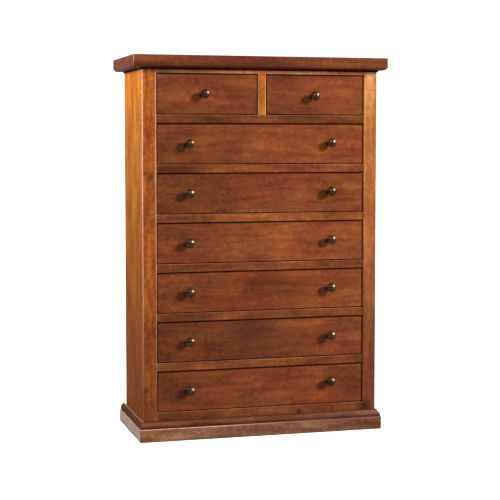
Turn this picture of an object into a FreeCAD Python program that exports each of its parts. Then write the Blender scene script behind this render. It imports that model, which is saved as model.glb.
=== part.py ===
import FreeCAD, Part
import os

from FreeCAD import Vector

# A chest of drawers in wood: two small drawers over six wide ones, on a plinth.
# All sizes are in millimetres. +Z is up, the drawers open towards -Y, and the origin
# lies on the floor under the middle of the whole chest.

# Rows of drawers, from the top one down
row_count = 7
opening_height = 150.0
drawer_gap = 3.0

# Case
case_width = 896.0
case_depth = 340.0
back_overhang = 46.0
post_width = 52.0
post_depth = 45.0
post_arris_radius = 4.0
side_thickness = 22.0
side_tongue_length = 8.0
side_tongue_thickness = 10.0

# Rails across the front
rail_setback = 2.0
rail_height = 30.5
top_rail_height = 18.5
bottom_rail_height = 55.5
rail_arris_radius = 2.0
tenon_length = 18.0
tenon_thickness = 14.0
tenon_shoulder = 4.0

# Upright divider between the two small drawers
divider_width = 30.0
divider_tenon_length = 8.0

# Top board and the strip below it
top_thickness = 45.0
top_side_overhang = 35.0
top_front_overhang = 28.0
top_edge_radius = 20.0
top_arris_radius = 2.0
strip_height = 7.0
strip_projection = 4.0
strip_radius = 2.5

# Plinth and the moulding on it
plinth_height = 48.0
plinth_side_projection = 17.0
plinth_front_projection = 24.0
plinth_board_width = 60.0
plinth_corner_radius = 8.0
plinth_arris_radius = 1.5
glue_block_leg = 45.0
glue_block_inset = 4.0
moulding_height = 25.0
moulding_nose_setback = 3.0
nose_height = 7.0
# Shares of the moulding's projection at which its ledge ends and its quarter round starts
ledge_share = 0.30
step_share = 0.88
round_middle_share = 0.72

# Runners, guides and stops behind the rails
runner_width = 56.0
guide_height = 30.0
guide_clearance = 1.0
center_runner_width = 84.0
stop_width = 40.0
stop_depth = 15.0
stop_height = 5.0
stop_inset = 60.0
rear_rail_thickness = 20.0

# Back panel
back_panel_thickness = 8.0
back_rebate_width = 10.0

# Drawers
front_thickness = 20.0
front_arris_radius = 1.5
drawer_side_thickness = 13.0
drawer_side_height = 132.0
drawer_back_thickness = 12.0
drawer_back_drop = 6.0
drawer_rear_gap = 5.0
housing_depth = 5.0
bottom_thickness = 6.0
bottom_groove_depth = 6.0
bottom_lift = 8.0
tail_count = 4
tail_length = 12.0
tail_root_share = 0.28
tail_tip_share = 0.38

# Knobs and their screws
knob_head_radius = 16.8
knob_head_reach = 15.0
knob_projection = 24.0
knob_neck_radius = 6.2
knob_neck_reach = 7.0
knob_base_radius = 10.5
knob_base_thickness = 2.0
knob_foot_bow_share = -0.15
knob_head_bow_share = 0.06
knob_inset = 122.0
small_left_knob_offset = 8.0
small_right_knob_drop = 4.0
knob_drift = 3.5
right_knob_rise = 3.5
lowest_right_knob_rise = 10.0
knob_screw_radius = 2.0
knob_screw_depth = 12.0
knob_screw_head_radius = 4.5
knob_screw_head_height = 2.5

# Wood screws
screw_radius = 2.0
screw_length = 30.0
screw_head_radius = 4.0
screw_head_height = 3.0
back_screw_rows = 5
back_screw_end_distance = 90.0
top_screw_end_distance = 70.0

# Clearances
running_clearance = 0.3
joint_clearance = 0.2

# Places worked out from the sizes above
front_projection = max(top_front_overhang, plinth_front_projection)
outer_back_y = (case_depth + front_projection + back_overhang) / 2
back_y = outer_back_y - back_overhang
post_front_y = back_y - case_depth
post_back_y = post_front_y + post_depth
rail_front_y = post_front_y + rail_setback
side_inner_x = case_width / 2 - side_thickness
opening_half = case_width / 2 - post_width
divider_half = divider_width / 2
back_panel_y = back_y - back_panel_thickness
rear_rail_y = back_panel_y - rear_rail_thickness

first_floor_z = plinth_height + bottom_rail_height
row_pitch = opening_height + rail_height
case_top_z = first_floor_z + row_count * row_pitch - rail_height + top_rail_height
total_height = case_top_z + top_thickness

across = Vector(1, 0, 0)
upright = Vector(0, 0, 1)


def floor_z(row):
    """Height of the surface that the drawers of a row run on; row 1 is the top row."""
    return first_floor_z + (row_count - row) * row_pitch


def box(x0, x1, y0, y1, z0, z1):
    """Box between two corners."""
    return Part.makeBox(x1 - x0, y1 - y0, z1 - z0, Vector(x0, y0, z0))


def prism(points, direction):
    """Solid with the outline of the points, pushed along a direction."""
    outline = Part.makePolygon(points + [points[0]])
    return Part.Face(outline).extrude(direction)


def mirror_x(shape):
    """Copy of a shape on the other side of the middle plane."""
    return shape.mirror(Vector(0, 0, 0), Vector(1, 0, 0))


def round_front_edges(shape, radius, front_y, axes):
    """Round the edges of the front face that run along one of the axes."""
    edges = []
    for edge in shape.Edges:
        start, end = edge.Vertexes[0].Point, edge.Vertexes[-1].Point
        run = end - start
        along = any(near(abs(run.dot(axis)), run.Length) for axis in axes)
        if along and near(start.y, front_y) and near(end.y, front_y):
            edges.append(edge)
    return shape.makeFillet(radius, edges)


def near(value, target):
    """Whether two lengths are the same place."""
    return abs(value - target) < joint_clearance / 2


def save(name, solids):
    """Write one node as a STEP file, one solid or a group of separate solids."""
    shape = solids[0] if len(solids) == 1 else Part.makeCompound(solids)
    shape.exportStep(os.path.join("parts", name + ".step"))


# Rail levels: name, lower and upper face, from the top down
rail_levels = [("top_rail", case_top_z - top_rail_height, case_top_z)]
for row in range(1, row_count):
    rail_levels.append((f"rail_{row}", floor_z(row) - rail_height, floor_z(row)))
rail_levels.append(("bottom_rail", plinth_height, first_floor_z))


def tenon_span(low, high):
    """Lower and upper face of the tenon of a rail."""
    return low + tenon_shoulder, high - tenon_shoulder


tenon_y = rail_front_y + (post_depth - rail_setback - tenon_thickness) / 2


def rail(low, high):
    """Rail between the posts, with a tenon at each end."""
    body = box(-opening_half, opening_half, rail_front_y, post_back_y, low, high)
    body = round_front_edges(body, rail_arris_radius, rail_front_y, [across])
    tenon_low, tenon_high = tenon_span(low, high)
    reach = opening_half + tenon_length
    tenon = box(-reach, reach, tenon_y, tenon_y + tenon_thickness, tenon_low, tenon_high)
    return body.fuse(tenon).removeSplitter()


def divider_mortise(low, high):
    """Space in a rail for the divider's tenon."""
    half = divider_half - tenon_shoulder + joint_clearance
    y0 = tenon_y - joint_clearance
    y1 = tenon_y + tenon_thickness + joint_clearance
    return box(-half, half, y0, y1, low, high)


def center_divider():
    """Upright between the two small drawers, tenoned into the rails above and below."""
    low = floor_z(1)
    high = low + opening_height
    body = box(-divider_half, divider_half, rail_front_y, post_back_y, low, high)
    body = round_front_edges(body, rail_arris_radius, rail_front_y, [upright])
    half = divider_half - tenon_shoulder
    tenon = box(-half, half, tenon_y, tenon_y + tenon_thickness,
                low - divider_tenon_length, high + divider_tenon_length)
    return body.fuse(tenon).removeSplitter()


side_groove_x = side_inner_x + (side_thickness - side_tongue_thickness) / 2


def post_left():
    """Left front post, with mortises for the rails and a groove for the side panel."""
    outer = -case_width / 2
    body = box(outer, -opening_half, post_front_y, post_back_y, plinth_height, case_top_z)
    body = round_front_edges(body, post_arris_radius, post_front_y, [upright])
    cuts = []
    for name, low, high in rail_levels:
        tenon_low, tenon_high = tenon_span(low, high)
        cuts.append(box(-opening_half - tenon_length - joint_clearance, -opening_half,
                        tenon_y - joint_clearance, tenon_y + tenon_thickness + joint_clearance,
                        tenon_low - joint_clearance, tenon_high + joint_clearance))
    cuts.append(box(-side_groove_x - side_tongue_thickness - joint_clearance,
                    -side_groove_x + joint_clearance,
                    post_back_y - side_tongue_length - joint_clearance, post_back_y,
                    plinth_height, case_top_z))
    return body.cut(Part.makeCompound(cuts))


back_screw_x = side_inner_x + back_rebate_width / 2
back_screw_step = (case_top_z - plinth_height - 2 * back_screw_end_distance) / (back_screw_rows - 1)
back_screw_heights = [plinth_height + back_screw_end_distance + number * back_screw_step
                      for number in range(back_screw_rows)]
top_screw_x = side_inner_x - runner_width / 2
top_screw_depths = [post_back_y + top_screw_end_distance, rear_rail_y - top_screw_end_distance]


def screw(place, direction, clearance=0.0):
    """Countersunk wood screw from its head's face inwards; with clearance, its hole."""
    head = Part.makeCone(screw_head_radius + clearance, screw_radius + clearance,
                         screw_head_height, place, direction)
    shank = Part.makeCylinder(screw_radius + clearance, screw_length + clearance, place, direction)
    return head.fuse(shank).removeSplitter()


def back_screws(clearance=0.0):
    """Screws through the back panel into the sides."""
    return [screw(Vector(x, back_y, z), Vector(0, -1, 0), clearance)
            for x in (-back_screw_x, back_screw_x) for z in back_screw_heights]


def top_screws(clearance=0.0):
    """Screws up through the upper kickers into the top board."""
    return [screw(Vector(x, y, case_top_z - top_rail_height), Vector(0, 0, 1), clearance)
            for x in (-top_screw_x, top_screw_x) for y in top_screw_depths]


back_screw_holes = Part.makeCompound(back_screws(joint_clearance / 2))
top_screw_holes = Part.makeCompound(top_screws(joint_clearance / 2))


def side_panel_left():
    """Left side, with a tongue into the post and a rebate for the back panel."""
    panel = box(-case_width / 2, -side_inner_x, post_back_y, back_y, plinth_height, case_top_z)
    tongue = box(-side_groove_x - side_tongue_thickness, -side_groove_x,
                 post_back_y - side_tongue_length, post_back_y, plinth_height, case_top_z)
    rebate = box(-side_inner_x - back_rebate_width, -side_inner_x,
                 back_panel_y, back_y, plinth_height, case_top_z)
    return panel.fuse(tongue).removeSplitter().cut(rebate).cut(back_screw_holes)


def back_panel():
    """Thin back, let into the sides."""
    half = side_inner_x + back_rebate_width
    panel = box(-half, half, back_panel_y, back_y, plinth_height, case_top_z)
    return panel.cut(back_screw_holes)


def rear_rails():
    """Cross rails at the back: top, under the small drawers, and at the bottom."""
    rails = []
    for name, low, high in (rail_levels[0], rail_levels[1], rail_levels[-1]):
        rails.append(box(-side_inner_x, side_inner_x, rear_rail_y, back_panel_y, low, high))
    return rails


def drawer_runners():
    """Bars along both sides, one pair at the level of each rail."""
    bars = []
    inner = side_inner_x - runner_width
    rear_levels = (rail_levels[0], rail_levels[1], rail_levels[-1])
    for level in rail_levels:
        name, low, high = level
        end_y = rear_rail_y if level in rear_levels else back_panel_y
        bar = box(-side_inner_x, -inner, post_back_y, end_y, low, high)
        if name == "top_rail":
            bar = bar.cut(top_screw_holes)
        bars += [bar, mirror_x(bar)]
    return bars


def drawer_guides():
    """Strips on the runners that keep the drawers straight."""
    strips = []
    for row in range(1, row_count + 1):
        low = floor_z(row)
        guide = box(-side_inner_x, -opening_half + drawer_gap - guide_clearance,
                    post_back_y, rear_rail_y, low, low + guide_height)
        strips += [guide, mirror_x(guide)]
    return strips


def center_runner():
    """Runner, guide and kicker between the two small drawers."""
    half = center_runner_width / 2
    guide_half = divider_half + drawer_gap - guide_clearance
    low = floor_z(1)
    runner = box(-half, half, post_back_y, rear_rail_y, low - rail_height, low)
    guide = box(-guide_half, guide_half, post_back_y, rear_rail_y, low, low + guide_height)
    kicker = box(-half, half, post_back_y, rear_rail_y, case_top_z - top_rail_height, case_top_z)
    return [runner, guide, kicker]


def top_board():
    """Top board with a quarter round along the lower edge of its front and ends."""
    half = case_width / 2 + top_side_overhang
    front_y = post_front_y - top_front_overhang
    board = box(-half, half, front_y, outer_back_y, case_top_z, total_height)

    def on_shown_edge(edge, z):
        ends = [vertex.Point for vertex in edge.Vertexes]
        level = all(near(end.z, z) for end in ends)
        behind = all(near(end.y, outer_back_y) for end in ends)
        return level and not behind

    lower = [edge for edge in board.Edges if on_shown_edge(edge, case_top_z)]
    board = board.makeFillet(top_edge_radius, lower)
    upper = [edge for edge in board.Edges if on_shown_edge(edge, total_height)]
    board = board.makeFillet(top_arris_radius, upper)
    return board.cut(top_screw_holes)


def outline_face(runs, place):
    """Face inside lines of two points and arcs of three; place puts a profile point in space."""
    edges = []
    for run in runs:
        points = [place(*point) for point in run]
        arc = len(points) > 2
        edges.append(Part.Arc(*points).toShape() if arc else Part.makeLine(*points))
    return Part.Face(Part.Wire(edges))


def mitred_ring(runs, side_out, front_out, rear_y, low, high):
    """Front, left and right lengths of a moulding that runs round the case.

    The profile's points are (outward share, height) pairs; side_out and front_out are how far
    it stands out at the sides and at the front, rear_y is how far the side lengths run back, and
    the mitres run from corner to corner.
    """
    corner_x = case_width / 2
    outer_x = corner_x + side_out
    outer_y = post_front_y - front_out

    def on_front(share, z):
        return Vector(-outer_x, post_front_y - share * front_out, z)

    def on_left(share, z):
        return Vector(-corner_x - share * side_out, outer_y, z)

    front = outline_face(runs, on_front).extrude(Vector(2 * outer_x, 0, 0))
    left = outline_face(runs, on_left).extrude(Vector(0, rear_y - outer_y, 0))
    far_x = outer_x + side_out
    side_zone = prism([Vector(-corner_x, post_front_y, low), Vector(-far_x, outer_y - front_out, low),
                       Vector(-far_x, rear_y, low), Vector(-corner_x, rear_y, low)],
                      Vector(0, 0, high - low))
    front = front.cut(side_zone).cut(mirror_x(side_zone))
    left = left.common(side_zone)
    return [front, left, mirror_x(left)]


def under_top_strip():
    """Thin strip round the case under the top board, rounded along its lower edge."""
    low = case_top_z - strip_height
    flat_share = 1 - strip_radius / strip_projection
    turn = strip_radius * (1 - 0.5 ** 0.5)
    runs = [
        [(0, low), (flat_share, low)],
        [(flat_share, low), (1 - turn / strip_projection, low + turn), (1, low + strip_radius)],
        [(1, low + strip_radius), (1, case_top_z)],
        [(1, case_top_z), (0, case_top_z)],
        [(0, case_top_z), (0, low)],
    ]
    return mitred_ring(runs, strip_projection, strip_projection, back_y, low, case_top_z)


def base_moulding():
    """Moulding round the foot of the case: an upright nose, a small step, a quarter round, a ledge."""
    low = plinth_height
    high = low + moulding_height
    nose_z = low + nose_height
    round_middle = (ledge_share + (step_share - ledge_share) * round_middle_share,
                    nose_z + (high - nose_z) * round_middle_share)
    runs = [
        [(0, low), (1, low)],
        [(1, low), (1, nose_z)],
        [(1, nose_z), (step_share, nose_z)],
        [(step_share, nose_z), round_middle, (ledge_share, high)],
        [(ledge_share, high), (0, high)],
        [(0, high), (0, low)],
    ]
    side_out = plinth_side_projection - moulding_nose_setback
    front_out = plinth_front_projection - moulding_nose_setback
    return mitred_ring(runs, side_out, front_out, outer_back_y, low, high)


plinth_outer_x = case_width / 2 + plinth_side_projection
plinth_inner_x = plinth_outer_x - plinth_board_width
plinth_outer_y = post_front_y - plinth_front_projection
plinth_inner_y = plinth_outer_y + plinth_board_width
plinth_back_y = outer_back_y - plinth_board_width


def plinth_block():
    """Outer shape of the whole plinth, rounded at the front corners and along the top."""
    block = box(-plinth_outer_x, plinth_outer_x, plinth_outer_y, outer_back_y, 0, plinth_height)
    block = round_front_edges(block, plinth_corner_radius, plinth_outer_y, [upright])
    shown = [edge for edge in block.Edges
             if all(near(vertex.Z, plinth_height) for vertex in edge.Vertexes)
             and not all(near(vertex.Y, outer_back_y) for vertex in edge.Vertexes)]
    return block.makeFillet(plinth_arris_radius, shown)


def plinth_front():
    """Front board of the plinth, mitred at both ends."""
    points = [Vector(-plinth_outer_x, plinth_outer_y, 0), Vector(plinth_outer_x, plinth_outer_y, 0),
              Vector(plinth_inner_x, plinth_inner_y, 0), Vector(-plinth_inner_x, plinth_inner_y, 0)]
    return prism(points, Vector(0, 0, plinth_height)).common(plinth_block())


def plinth_left():
    """Left board of the plinth, mitred at the front."""
    points = [Vector(-plinth_outer_x, plinth_outer_y, 0), Vector(-plinth_inner_x, plinth_inner_y, 0),
              Vector(-plinth_inner_x, outer_back_y, 0), Vector(-plinth_outer_x, outer_back_y, 0)]
    return prism(points, Vector(0, 0, plinth_height)).common(plinth_block())


def plinth_back():
    """Rear board of the plinth, between the side boards."""
    return box(-plinth_inner_x, plinth_inner_x, plinth_back_y, outer_back_y, 0, plinth_height)


def plinth_glue_blocks():
    """Triangular blocks glued into the plinth's four corners."""
    blocks = []
    for y, leg in ((plinth_inner_y, glue_block_leg), (plinth_back_y, -glue_block_leg)):
        points = [Vector(-plinth_inner_x, y, glue_block_inset),
                  Vector(-plinth_inner_x + glue_block_leg, y, glue_block_inset),
                  Vector(-plinth_inner_x, y + leg, glue_block_inset)]
        block = prism(points, Vector(0, 0, plinth_height - 2 * glue_block_inset))
        blocks += [block, mirror_x(block)]
    return blocks


def drawer_spans():
    """Name, row, and left and right end of the front of each drawer."""
    inner = divider_half + drawer_gap
    outer = opening_half - drawer_gap
    spans = [("drawer_top_left", 1, -outer, -inner), ("drawer_top_right", 1, inner, outer)]
    for row in range(2, row_count + 1):
        spans.append((f"drawer_{row}", row, -outer, outer))
    return spans


drawer_front_y = rail_front_y
drawer_inner_y = drawer_front_y + front_thickness
drawer_rear_y = rear_rail_y - drawer_rear_gap


def dovetails(x0, x1, low, grow):
    """Tails on the front end of a drawer side; grow widens them into their sockets."""
    pitch = (drawer_side_height - running_clearance) / tail_count
    tip_y = drawer_inner_y - tail_length - grow
    tails = []
    for number in range(tail_count):
        middle = low + (number + 1 / 2) * pitch
        root = tail_root_share * pitch + grow
        tip = tail_tip_share * pitch + grow
        points = [Vector(x0, drawer_inner_y, middle - root), Vector(x0, tip_y, middle - tip),
                  Vector(x0, tip_y, middle + tip), Vector(x0, drawer_inner_y, middle + root)]
        tails.append(prism(points, Vector(x1 - x0, 0, 0)))
    return tails


def knob_places(left, right, row):
    """Centres of a drawer's knobs on its front face."""
    middle_z = floor_z(row) + opening_height / 2
    if row == 1:
        middle_x = (left + right) / 2 - knob_drift
        if right < 0:
            middle_x -= small_left_knob_offset
        else:
            middle_z -= small_right_knob_drop
        return [Vector(middle_x, drawer_front_y, middle_z)]
    rise = lowest_right_knob_rise if row == row_count else right_knob_rise
    return [Vector(left + knob_inset - knob_drift, drawer_front_y, middle_z),
            Vector(right - knob_inset - knob_drift, drawer_front_y, middle_z + rise)]


def bowed(start, end, bow_share):
    """Arc between two points, bowed outwards by a share of its chord, or inwards if negative."""
    chord = end - start
    middle = (start + end) / 2 + Vector(-chord.y, chord.x, 0) * bow_share
    return Part.Arc(start, middle, end).toShape()


def knob(place):
    """Turned knob with a blind hole for its screw."""
    origin = Vector(0, 0, 0)
    base_edge = Vector(knob_base_radius, 0, 0)
    base = Vector(knob_base_radius, -knob_base_thickness, 0)
    neck = Vector(knob_neck_radius, -knob_neck_reach, 0)
    rim = Vector(knob_head_radius, -knob_head_reach, 0)
    tip = Vector(0, -knob_projection, 0)
    crown = knob_projection - knob_head_reach
    dome_radius = (knob_head_radius ** 2 + crown ** 2) / (2 * crown)
    half_chord = knob_head_radius / 2
    dome_drop = dome_radius - (dome_radius ** 2 - half_chord ** 2) ** 0.5
    dome_middle = Vector(half_chord, -knob_projection + dome_drop, 0)
    edges = [
        Part.makeLine(origin, base_edge),
        Part.makeLine(base_edge, base),
        bowed(base, neck, knob_foot_bow_share),
        bowed(neck, rim, knob_head_bow_share),
        Part.Arc(rim, dome_middle, tip).toShape(),
        Part.makeLine(tip, origin),
    ]
    solid = Part.Face(Part.Wire(edges)).revolve(origin, Vector(0, 1, 0), 360)
    solid.translate(place)
    hole = Part.makeCylinder(knob_screw_radius + joint_clearance / 2, knob_screw_depth + joint_clearance,
                             place, Vector(0, -1, 0))
    return solid.cut(hole)


def knob_screw(place):
    """Screw through the drawer front into the knob, with its head inside the drawer."""
    inside = Vector(place.x, drawer_inner_y, place.z)
    head = Part.makeCylinder(knob_screw_head_radius, knob_screw_head_height, inside, Vector(0, 1, 0))
    shank = Part.makeCylinder(knob_screw_radius, front_thickness + knob_screw_depth,
                              inside, Vector(0, -1, 0))
    return head.fuse(shank).removeSplitter()


def drawer(name, row, left, right):
    """Make and save the nodes of one drawer."""
    floor = floor_z(row)
    side_low = floor + running_clearance
    side_high = floor + drawer_side_height
    panel_low = floor + bottom_lift
    panel_high = panel_low + bottom_thickness
    groove_high = panel_high + joint_clearance
    inner_left = left + drawer_side_thickness
    inner_right = right - drawer_side_thickness
    back_front_y = drawer_rear_y - drawer_back_thickness

    front = box(left, right, drawer_front_y, drawer_inner_y,
                floor + drawer_gap, floor + opening_height - drawer_gap)
    front = round_front_edges(front, front_arris_radius, drawer_front_y, [across, upright])
    groove = box(inner_left, inner_right, drawer_inner_y - bottom_groove_depth, drawer_inner_y,
                 panel_low, groove_high)
    sockets = (dovetails(left, inner_left + joint_clearance, side_low, joint_clearance / 2)
               + dovetails(inner_right - joint_clearance, right, side_low, joint_clearance / 2))
    places = knob_places(left, right, row)
    holes = [Part.makeCylinder(knob_screw_radius + joint_clearance / 2, front_thickness, place,
                               Vector(0, 1, 0)) for place in places]
    front = front.cut(Part.makeCompound(sockets + [groove])).cut(Part.makeCompound(holes))
    save(name + "_front", [front])

    sides = []
    for outer_x, inner_x, sign in ((left, inner_left, 1), (right, inner_right, -1)):
        x0, x1 = min(outer_x, inner_x), max(outer_x, inner_x)
        body = box(x0, x1, drawer_inner_y, drawer_rear_y, side_low, side_high)
        side = body.fuse(dovetails(x0, x1, side_low, 0)).removeSplitter()
        groove_x = inner_x - sign * bottom_groove_depth
        side = side.cut(box(min(groove_x, inner_x), max(groove_x, inner_x),
                            drawer_inner_y, drawer_rear_y, panel_low, groove_high))
        housing_x = inner_x - sign * housing_depth
        side = side.cut(box(min(housing_x, inner_x), max(housing_x, inner_x),
                            back_front_y, drawer_rear_y, panel_high, side_high))
        sides.append(side)
    reach = housing_depth - joint_clearance
    back = box(inner_left - reach, inner_right + reach, back_front_y, drawer_rear_y,
               panel_high, side_high - drawer_back_drop)
    save(name + "_box", sides + [back])

    reach = bottom_groove_depth - joint_clearance
    panel = box(inner_left - reach, inner_right + reach, drawer_inner_y - reach, drawer_rear_y,
                panel_low, panel_high)
    notches = [box(x, x + reach, drawer_inner_y - reach, drawer_inner_y, panel_low, panel_high)
               for x in (inner_left - reach, inner_right)]
    save(name + "_bottom", [panel.cut(Part.makeCompound(notches))])

    save(name + "_knobs", [knob(place) for place in places] + [knob_screw(place) for place in places])


def drawer_stops():
    """Small blocks on the rails that the drawer fronts come to rest against."""
    blocks = []
    stop_y = drawer_inner_y + running_clearance
    for name, row, left, right in drawer_spans():
        floor = floor_z(row)
        for x in (left + stop_inset, right - stop_inset - stop_width):
            blocks.append(box(x, x + stop_width, stop_y, stop_y + stop_depth, floor, floor + stop_height))
    return blocks


os.makedirs("parts", exist_ok=True)

for name, low, high in rail_levels:
    made = rail(low, high)
    if name == "top_rail":
        made = made.cut(divider_mortise(low, low + divider_tenon_length + joint_clearance))
    if name == "rail_1":
        made = made.cut(divider_mortise(high - divider_tenon_length - joint_clearance, high))
    save(name, [made])

save("top_board", [top_board()])
save("under_top_strip", under_top_strip())
save("post_left", [post_left()])
save("post_right", [mirror_x(post_left())])
save("side_panel_left", [side_panel_left()])
save("side_panel_right", [mirror_x(side_panel_left())])
save("center_divider", [center_divider()])
save("center_runner", center_runner())
save("drawer_runners", drawer_runners())
save("drawer_guides", drawer_guides())
save("drawer_stops", drawer_stops())
save("rear_rails", rear_rails())
save("back_panel", [back_panel()])
save("plinth_front", [plinth_front()])
save("plinth_left", [plinth_left()])
save("plinth_right", [mirror_x(plinth_left())])
save("plinth_back", [plinth_back()])
save("plinth_glue_blocks", plinth_glue_blocks())
save("base_moulding", base_moulding())
save("wood_screws", back_screws() + top_screws())

for name, row, left, right in drawer_spans():
    drawer(name, row, left, right)
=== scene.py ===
"""Looks of a stained wooden chest of drawers, built around its packed construction."""

import logging
import math
from collections.abc import Callable
from dataclasses import dataclass, field, replace
from enum import Enum, IntEnum

import bmesh
import bpy
from mathutils import Euler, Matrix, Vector


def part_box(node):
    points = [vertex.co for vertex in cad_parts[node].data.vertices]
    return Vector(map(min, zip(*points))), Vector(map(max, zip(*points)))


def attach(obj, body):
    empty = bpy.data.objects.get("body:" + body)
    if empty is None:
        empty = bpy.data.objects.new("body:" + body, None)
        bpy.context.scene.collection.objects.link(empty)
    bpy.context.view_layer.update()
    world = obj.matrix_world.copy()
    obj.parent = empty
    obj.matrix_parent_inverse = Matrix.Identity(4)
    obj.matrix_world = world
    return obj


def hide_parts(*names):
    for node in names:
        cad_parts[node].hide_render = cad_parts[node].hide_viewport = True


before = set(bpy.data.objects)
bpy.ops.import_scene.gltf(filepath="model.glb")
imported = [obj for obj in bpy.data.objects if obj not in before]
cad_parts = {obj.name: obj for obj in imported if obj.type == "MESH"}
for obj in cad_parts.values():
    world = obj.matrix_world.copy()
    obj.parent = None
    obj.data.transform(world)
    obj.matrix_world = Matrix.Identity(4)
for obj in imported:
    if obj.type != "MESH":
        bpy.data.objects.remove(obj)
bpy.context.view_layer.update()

log = logging.getLogger("chest")

MM = 0.001

# Lengths that differ by less are the same place, and a step of a profile rises by more
TOUCH = 0.02 * MM
LEAST_STEP = 2.0 * TOUCH

# A face whose normal has at least this share along an axis faces that way
FACING = 0.99

Colour = tuple[float, float, float]
Place = tuple[float, float, float]
Socket = bpy.types.NodeSocket

WHITE = (1.0, 1.0, 1.0)

# Outline of the knob: shares of its radius, each with a share of its reach from the drawer front
KNOB_PROFILE_SHARES = (
    (0.620, 0.000), (0.620, 0.065), (0.600, 0.080), (0.500, 0.095), (0.420, 0.150), (0.375, 0.220),
    (0.365, 0.290), (0.400, 0.330), (0.520, 0.380), (0.700, 0.440), (0.860, 0.500), (0.950, 0.545),
    (0.990, 0.590), (1.000, 0.640), (0.985, 0.690), (0.930, 0.745), (0.830, 0.810), (0.690, 0.872),
    (0.520, 0.930), (0.330, 0.972), (0.150, 0.995), (0.050, 1.000),
)

# Outline of the moulding: shares of how far it stands out, each with a share of its height
MOULDING_PROFILE_SHARES = (
    (1.00, 0.08), (1.00, 0.22), (0.985, 0.32), (0.95, 0.42), (0.89, 0.52), (0.80, 0.61), (0.69, 0.69),
    (0.56, 0.75), (0.44, 0.785), (0.40, 0.80), (0.38, 0.84), (0.36, 1.00),
)


class Grain(Enum):
    """The way the fibres of a board run, as the turn that lays the figure along it."""

    ACROSS = (0.0, 0.0, 0.0)
    UPRIGHT = (0.0, math.pi / 2, 0.0)
    DEEP = (0.0, 0.0, math.pi / 2)


class Side(Enum):
    """The front and the two sides of the chest, as the sign of X."""

    FRONT = 0
    LEFT = -1
    RIGHT = 1


FLANKS = (Side.LEFT, Side.RIGHT)


class Axis(Enum):
    """An axis of the chest: X to the right, Y to the back, Z up."""

    X = "X"
    Y = "Y"
    Z = "Z"


class Blend(Enum):
    """The way one colour is laid over another."""

    COVER = "MIX"
    MULTIPLY = "MULTIPLY"


class Part(IntEnum):
    """The material slots of a board; SAME leaves new faces with what lies beside them."""

    SAME = -1
    FACE = 0
    ARRIS = 1
    FLANK = 2


class Cut(IntEnum):
    """Where in the tree the boards of each kind start, so that neighbours don't show the same figure."""

    DRAWER_BOX = 0
    POST = 3
    FLANK = 8
    RAIL = 11
    DIVIDER = 21
    TOP = 31
    STRIP = 33
    PLINTH = 41
    MOULDING = 45
    DRAWER_FRONT = 51
    INNER = 71
    BACK = 81


def part_way(start: float, end: float, share: float) -> float:
    """Find the place that lies a share of the way from one length to another."""
    return start + share * (end - start)


# Shader building


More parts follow.
